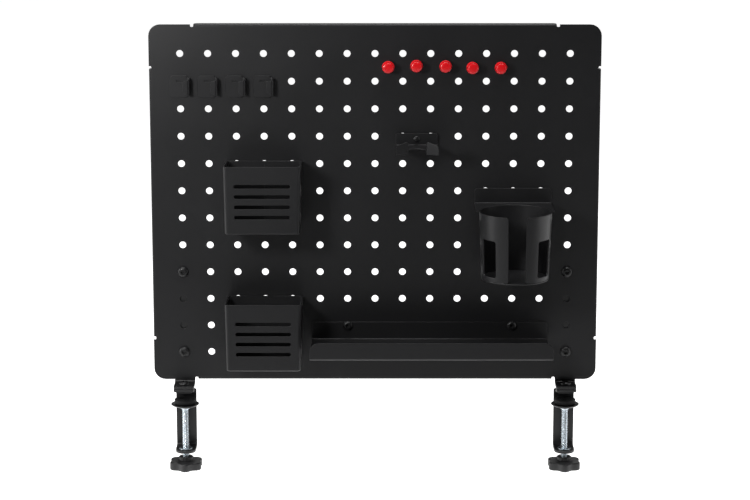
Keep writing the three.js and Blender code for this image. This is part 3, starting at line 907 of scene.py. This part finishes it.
def tray():
    """The long tray: a back plate, a floor, and a lip with rounded corners."""
    low, high = low_high("tray")
    half = (high.x - low.x) / 2
    peg_z = middle("tray_screw_left").z
    top = peg_z + 3.4
    floor_z = low.z + SHEET / 2
    lip_y = low.y + SHEET / 2
    lip_top = floor_z - SHEET / 2 + 16.2
    corners = [(PLATE_MIDDLE, top), (PLATE_MIDDLE, floor_z), (lip_y, floor_z), (lip_y, lip_top)]
    route = Route.through(corners, 1 + SHEET / 2)
    end = route.length
    outline = (
        arc(-half + 1.5, 1.5, 1.5, 180, 270, 3) + arc(half - 1.5, 1.5, 1.5, -90, 0, 3)
        + arc(half - 8, end - 8, 8, 0, 90, 10) + arc(-half + 8, end - 8, 8, 90, 180, 10)
    )
    centre_x = middle("tray").x
    screw_xs = [middle(f"tray_screw_{side}").x - centre_x for side in ("left", "right")]
    holes = [circle(x, top - peg_z, 2.8) for x in screw_xs]
    sheet = fold(blank(outline, holes), route)
    piece("tray_body", moved(sheet, (centre_x, 0, 0)), POWDER, "root", ["tray"])


def twin_hanger():
    """The forked shelf with slanted, upturned tips, its tab strip, and the rivet that joins them."""
    low, high = low_high("hanger_fork")
    strip_low, strip_high = low_high("hanger_tab_strip")
    centre_x = middle("hanger_fork").x
    peg_z = high.z - 3.2
    rivet_z = middle("hanger_rivet").z - peg_z
    half = (high.x - low.x) / 2
    plate_y = high.y - SHEET / 2
    tip_y = low.y + SHEET / 2
    bend = 0.8 + SHEET / 2
    route = Route.through([(plate_y, 3.2), (plate_y, -8.1), (tip_y, -10.4), (tip_y, 1.2)], bend)
    end = route.length
    shelf_start = route.stretches[2][0]
    slot_half = 8.2
    slot_back = shelf_start + plate_y - bend - (tip_y + 26)
    outline = (
        arc(-half + 2, 2, 2, 180, 270, 3) + arc(half - 2, 2, 2, -90, 0, 3)
        + arc(half - 3, end - 5.5, 3, 0, 80, 5) + arc(slot_half + 2, end - 2, 2, 100, 180, 4)
        + arc(0, slot_back + slot_half, slot_half, 0, -180, 20)
        + arc(-slot_half - 2, end - 2, 2, 0, 80, 4) + arc(-half + 3, end - 5.5, 3, 100, 180, 5)
    )
    sheet = blank(outline, [circle(0, 3.2 - rivet_z, 1.9)])
    crease(sheet, "y", [shelf_start + 6 + 4 * i for i in range(8)])
    fold(sheet, route)
    for vert in sheet.verts:
        share = min(1.0, max(0.0, (-vert.co.y - 14) / 24))
        vert.co.y += 4.6 * share * (half - min(abs(vert.co.x), half)) / (half - slot_half)
    moved(sheet, (centre_x, 0, peg_z))
    piece("hanger_fork_body", sheet, POWDER, "twin_hanger", ["hanger_fork"])

    strip_outline = rounded(strip_low.x - centre_x, strip_high.x - centre_x, -5.4, 2.2, 1.5)
    strip = blank(strip_outline, [circle(0, rivet_z, 1.9)])
    moved(strip, (0, PLATE_MIDDLE, 0), (90, "X"))
    body = merged([strip, hook(-PITCH / 2), hook(PITCH / 2)])
    moved(body, (centre_x, 0, peg_z))
    piece("hanger_strip_body", body, POWDER, "twin_hanger", ["hanger_tab_strip"])

    rivet_low, rivet_high = low_high("hanger_rivet")
    dome = 1.4
    levels = [(-(rivet_high.y - rivet_low.y - dome), 1.5), (0, 1.6), (0, 2.75), (0.25, 2.9)]
    for degrees in range(20, 91, 10):
        height = dome * math.sin(math.radians(degrees))
        levels.append((height, 2.9 * math.cos(math.radians(degrees * 0.82))))
    rivet = moved(rings(levels, 40), (centre_x, rivet_low.y + dome, rivet_z + peg_z), (90, "X"))
    piece("hanger_rivet_body", rivet, OXIDE, "twin_hanger", ["hanger_rivet"])


def cable_clip(index):
    """A small hooked plate whose right edge wraps forward into a tongue."""
    name = f"cable_clip_{index}"
    low, high = low_high(name)
    peg_z = high.z - 5.4
    tongue_y = low.y + SHEET / 2
    left = -9.25
    wall_x = -left - SHEET / 2
    corners = [(left, PLATE_MIDDLE), (wall_x, PLATE_MIDDLE), (wall_x, tongue_y), (2.7, tongue_y)]
    route = Route.through(corners, 1.2 + SHEET / 2)
    end = route.length
    plate_end = route.stretches[1][0] - 0.3
    bottom, top = -14.9, 5.4
    tongue_low, tongue_high = -12.3, 1.1
    outline = (
        arc(3, bottom + 3, 3, 180, 270) + arc(plate_end - 2, bottom + 2, 2, -90, -10, 4)
        + [(route.stretches[4][0], tongue_low)]
        + arc(end - 2.4, tongue_low + 4.4, 2.4, -75, 0, 4) + arc(end - 1.4, tongue_high - 1.4, 1.4, 0, 90, 4)
        + arc(plate_end - 2, top - 2, 2, 10, 90, 4) + arc(3, top - 3, 3, 90, 180)
    )
    window = rounded(-left - 3.2, -left + 1.8, -0.6, 1.0, 0.6, 3)
    sheet = fold(blank(outline, [window]), route, "x")
    backing = moved(blank(rounded(-3.8, 2.4, -1.2, 1.6, 0.6, 3), (), 0.3, 0.05), (0, -0.47, 0), (90, "X"))
    body = merged([sheet, backing, hook(0)])
    moved(body, (middle(name).x, 0, peg_z))
    piece(f"{name}_body", body, POWDER, f"clip_{index}", [name])


def magnet(index):
    """A moulded red cap, domed in front, over a plated disc magnet."""
    cap_name, disc_name = f"magnet_cap_{index}", f"magnet_disc_{index}"
    low, high = low_high(cap_name)
    radius = (high.x - low.x) / 2
    height = high.y - low.y
    profile = [
        (0.5, 0), (radius, 0), (radius, 1.7), (radius - 0.7, 2.6), (radius - 1.0, height * 0.6),
        (radius - 0.9, height - 1.4), (radius - 1.2, height - 0.5), (3.2, height - 0.15),
        (1.6, height - 0.02), (0.2, height),
    ]
    centre = middle(cap_name)
    cap = moved(rings(soften(profile, 0.7), 48), (centre.x, high.y, centre.z), (90, "X"))
    piece(f"{cap_name}_body", cap, RED, f"magnet_{index}", [cap_name], sharp=60)
    disc_low, disc_high = low_high(disc_name)
    disc_radius = (disc_high.x - disc_low.x) / 2
    thickness = disc_high.y - disc_low.y
    disc_profile = [(0.5, 0), (disc_radius, 0), (disc_radius, thickness), (0.5, thickness)]
    disc = moved(rings(soften(disc_profile, 0.35), 48), (centre.x, disc_high.y, centre.z), (90, "X"))
    piece(f"{disc_name}_body", disc, NICKEL, f"magnet_{index}", [disc_name])


# ---------------------------------------------------------------- camera, floor and light

def aim(thing, target):
    thing.rotation_mode = "QUATERNION"
    thing.rotation_quaternion = (Vector(target) - thing.location).to_track_quat("-Z", "Y")


def camera():
    """From a little above, straight in front, with a slight downward shift."""
    distance = 2.1
    elevation = math.radians(11.8)
    frame_width = 0.694
    shift = -0.05
    data = bpy.data.cameras.new("camera")
    data.sensor_width = 36
    data.lens = 36 * distance / frame_width
    data.shift_y = shift
    data.clip_end = 50
    made = bpy.data.objects.new("camera", data)
    bpy.context.scene.collection.objects.link(made)
    target = Vector((0, 0, (cad_low.z + cad_high.z) / 2))
    made.location = target + Vector((0, -math.cos(elevation), math.sin(elevation))) * distance
    tilt = elevation + math.atan(shift * data.sensor_width / data.lens)
    made.rotation_euler = (math.pi / 2 - tilt, 0, 0)
    bpy.context.scene.camera = made


def floor():
    """A floor that looks white to the camera, and glows onto the object only from behind it."""
    size = 12
    room_for_screws = 0.042
    glow_starts, glow_full = -0.35, 0.0
    glow_strength = 0.97
    mesh = bpy.data.meshes.new("floor")
    z = cad_low.z - room_for_screws
    corners = [(-size, -size, z), (size, -size, z), (size, size, z), (-size, size, z)]
    mesh.from_pydata(corners, [], [(0, 1, 2, 3)])
    made = bpy.data.objects.new("floor", mesh)
    bpy.context.scene.collection.objects.link(made)
    material, shader = new_material("floor", (0.8, 0.8, 0.8), 0, 0.9, 0.0)
    shader.inputs["Emission Color"].default_value = (1, 1, 1, 1)
    tree = material.node_tree
    coordinates = tree.nodes.new("ShaderNodeTexCoord")
    split = tree.nodes.new("ShaderNodeSeparateXYZ")
    glow = tree.nodes.new("ShaderNodeMapRange")
    glow.interpolation_type = "SMOOTHSTEP"
    glow.inputs["From Min"].default_value = glow_starts
    glow.inputs["From Max"].default_value = glow_full
    glow.inputs["To Min"].default_value = 0.0
    glow.inputs["To Max"].default_value = glow_strength
    tree.links.new(coordinates.outputs["Object"], split.inputs["Vector"])
    tree.links.new(split.outputs["Y"], glow.inputs["Value"])
    seen = tree.nodes.new("ShaderNodeLightPath")
    brighter = tree.nodes.new("ShaderNodeMath")
    brighter.operation = "MAXIMUM"
    tree.links.new(glow.outputs["Result"], brighter.inputs[0])
    tree.links.new(seen.outputs["Is Camera Ray"], brighter.inputs[1])
    tree.links.new(brighter.outputs["Value"], shader.inputs["Emission Strength"])
    mesh.materials.append(material)


def area_light(name, place, target, size, power):
    """A rectangular light that the camera doesn't see."""
    data = bpy.data.lights.new(name, "AREA")
    data.shape = "RECTANGLE"
    data.size, data.size_y = size
    data.energy = power
    made = bpy.data.objects.new(name, data)
    bpy.context.scene.collection.objects.link(made)
    made.location = place
    made.visible_camera = False
    aim(made, target)


def world():
    """Soft light that is stronger from the left, in a room whose walls look white to the camera."""
    left_strength, right_strength = 0.26, 0.08
    made = bpy.data.worlds.new("studio")
    made.use_nodes = True
    bpy.context.scene.world = made
    tree = made.node_tree
    soft_light = tree.nodes["Background"]
    coordinates = tree.nodes.new("ShaderNodeTexCoord")
    split = tree.nodes.new("ShaderNodeSeparateXYZ")
    ramp = tree.nodes.new("ShaderNodeMapRange")
    ramp.inputs["From Min"].default_value = -1
    ramp.inputs["From Max"].default_value = 1
    ramp.inputs["To Min"].default_value = left_strength
    ramp.inputs["To Max"].default_value = right_strength
    walls = tree.nodes.new("ShaderNodeBackground")
    walls.inputs["Color"].default_value = (1, 1, 1, 1)
    seen = tree.nodes.new("ShaderNodeLightPath")
    mix = tree.nodes.new("ShaderNodeMixShader")
    tree.links.new(coordinates.outputs["Generated"], split.inputs["Vector"])
    tree.links.new(split.outputs["X"], ramp.inputs["Value"])
    tree.links.new(ramp.outputs["Result"], soft_light.inputs["Strength"])
    tree.links.new(seen.outputs["Is Camera Ray"], mix.inputs["Fac"])
    tree.links.new(soft_light.outputs["Background"], mix.inputs[1])
    tree.links.new(walls.outputs["Background"], mix.inputs[2])
    tree.links.new(mix.outputs["Shader"], tree.nodes["World Output"].inputs["Surface"])


def studio():
    bpy.context.scene.view_settings.view_transform = "Standard"
    camera()
    floor()
    world()
    centre = (0, 0, 0.15)
    area_light("key", (-0.75, -1.2, 0.85), centre, (0.5, 0.5), 1.2)
    area_light("near", (-0.37, -0.55, 0.43), (-0.2, 0, 0.32), (0.12, 0.12), 2.2)
    area_light("left", (-1.8, -0.25, 0.5), centre, (0.6, 1.8), 17)
    area_light("right", (1.8, -0.25, 0.5), centre, (0.6, 1.8), 8)
    area_light("top", (0, -0.35, 1.8), centre, (1.6, 0.7), 20)
    area_light("back", (0.3, 1.8, 1.5), centre, (2.0, 1.2), 12)


studio()
peg_panel()
clamps()
fastener_pieces()
for bin_name in ("bin_upper", "bin_lower"):
    slotted_bin(bin_name)
cup_holder()
tray()
twin_hanger()
for clip_index in range(1, 5):
    cable_clip(clip_index)
for magnet_index in range(1, 6):
    magnet(magnet_index)
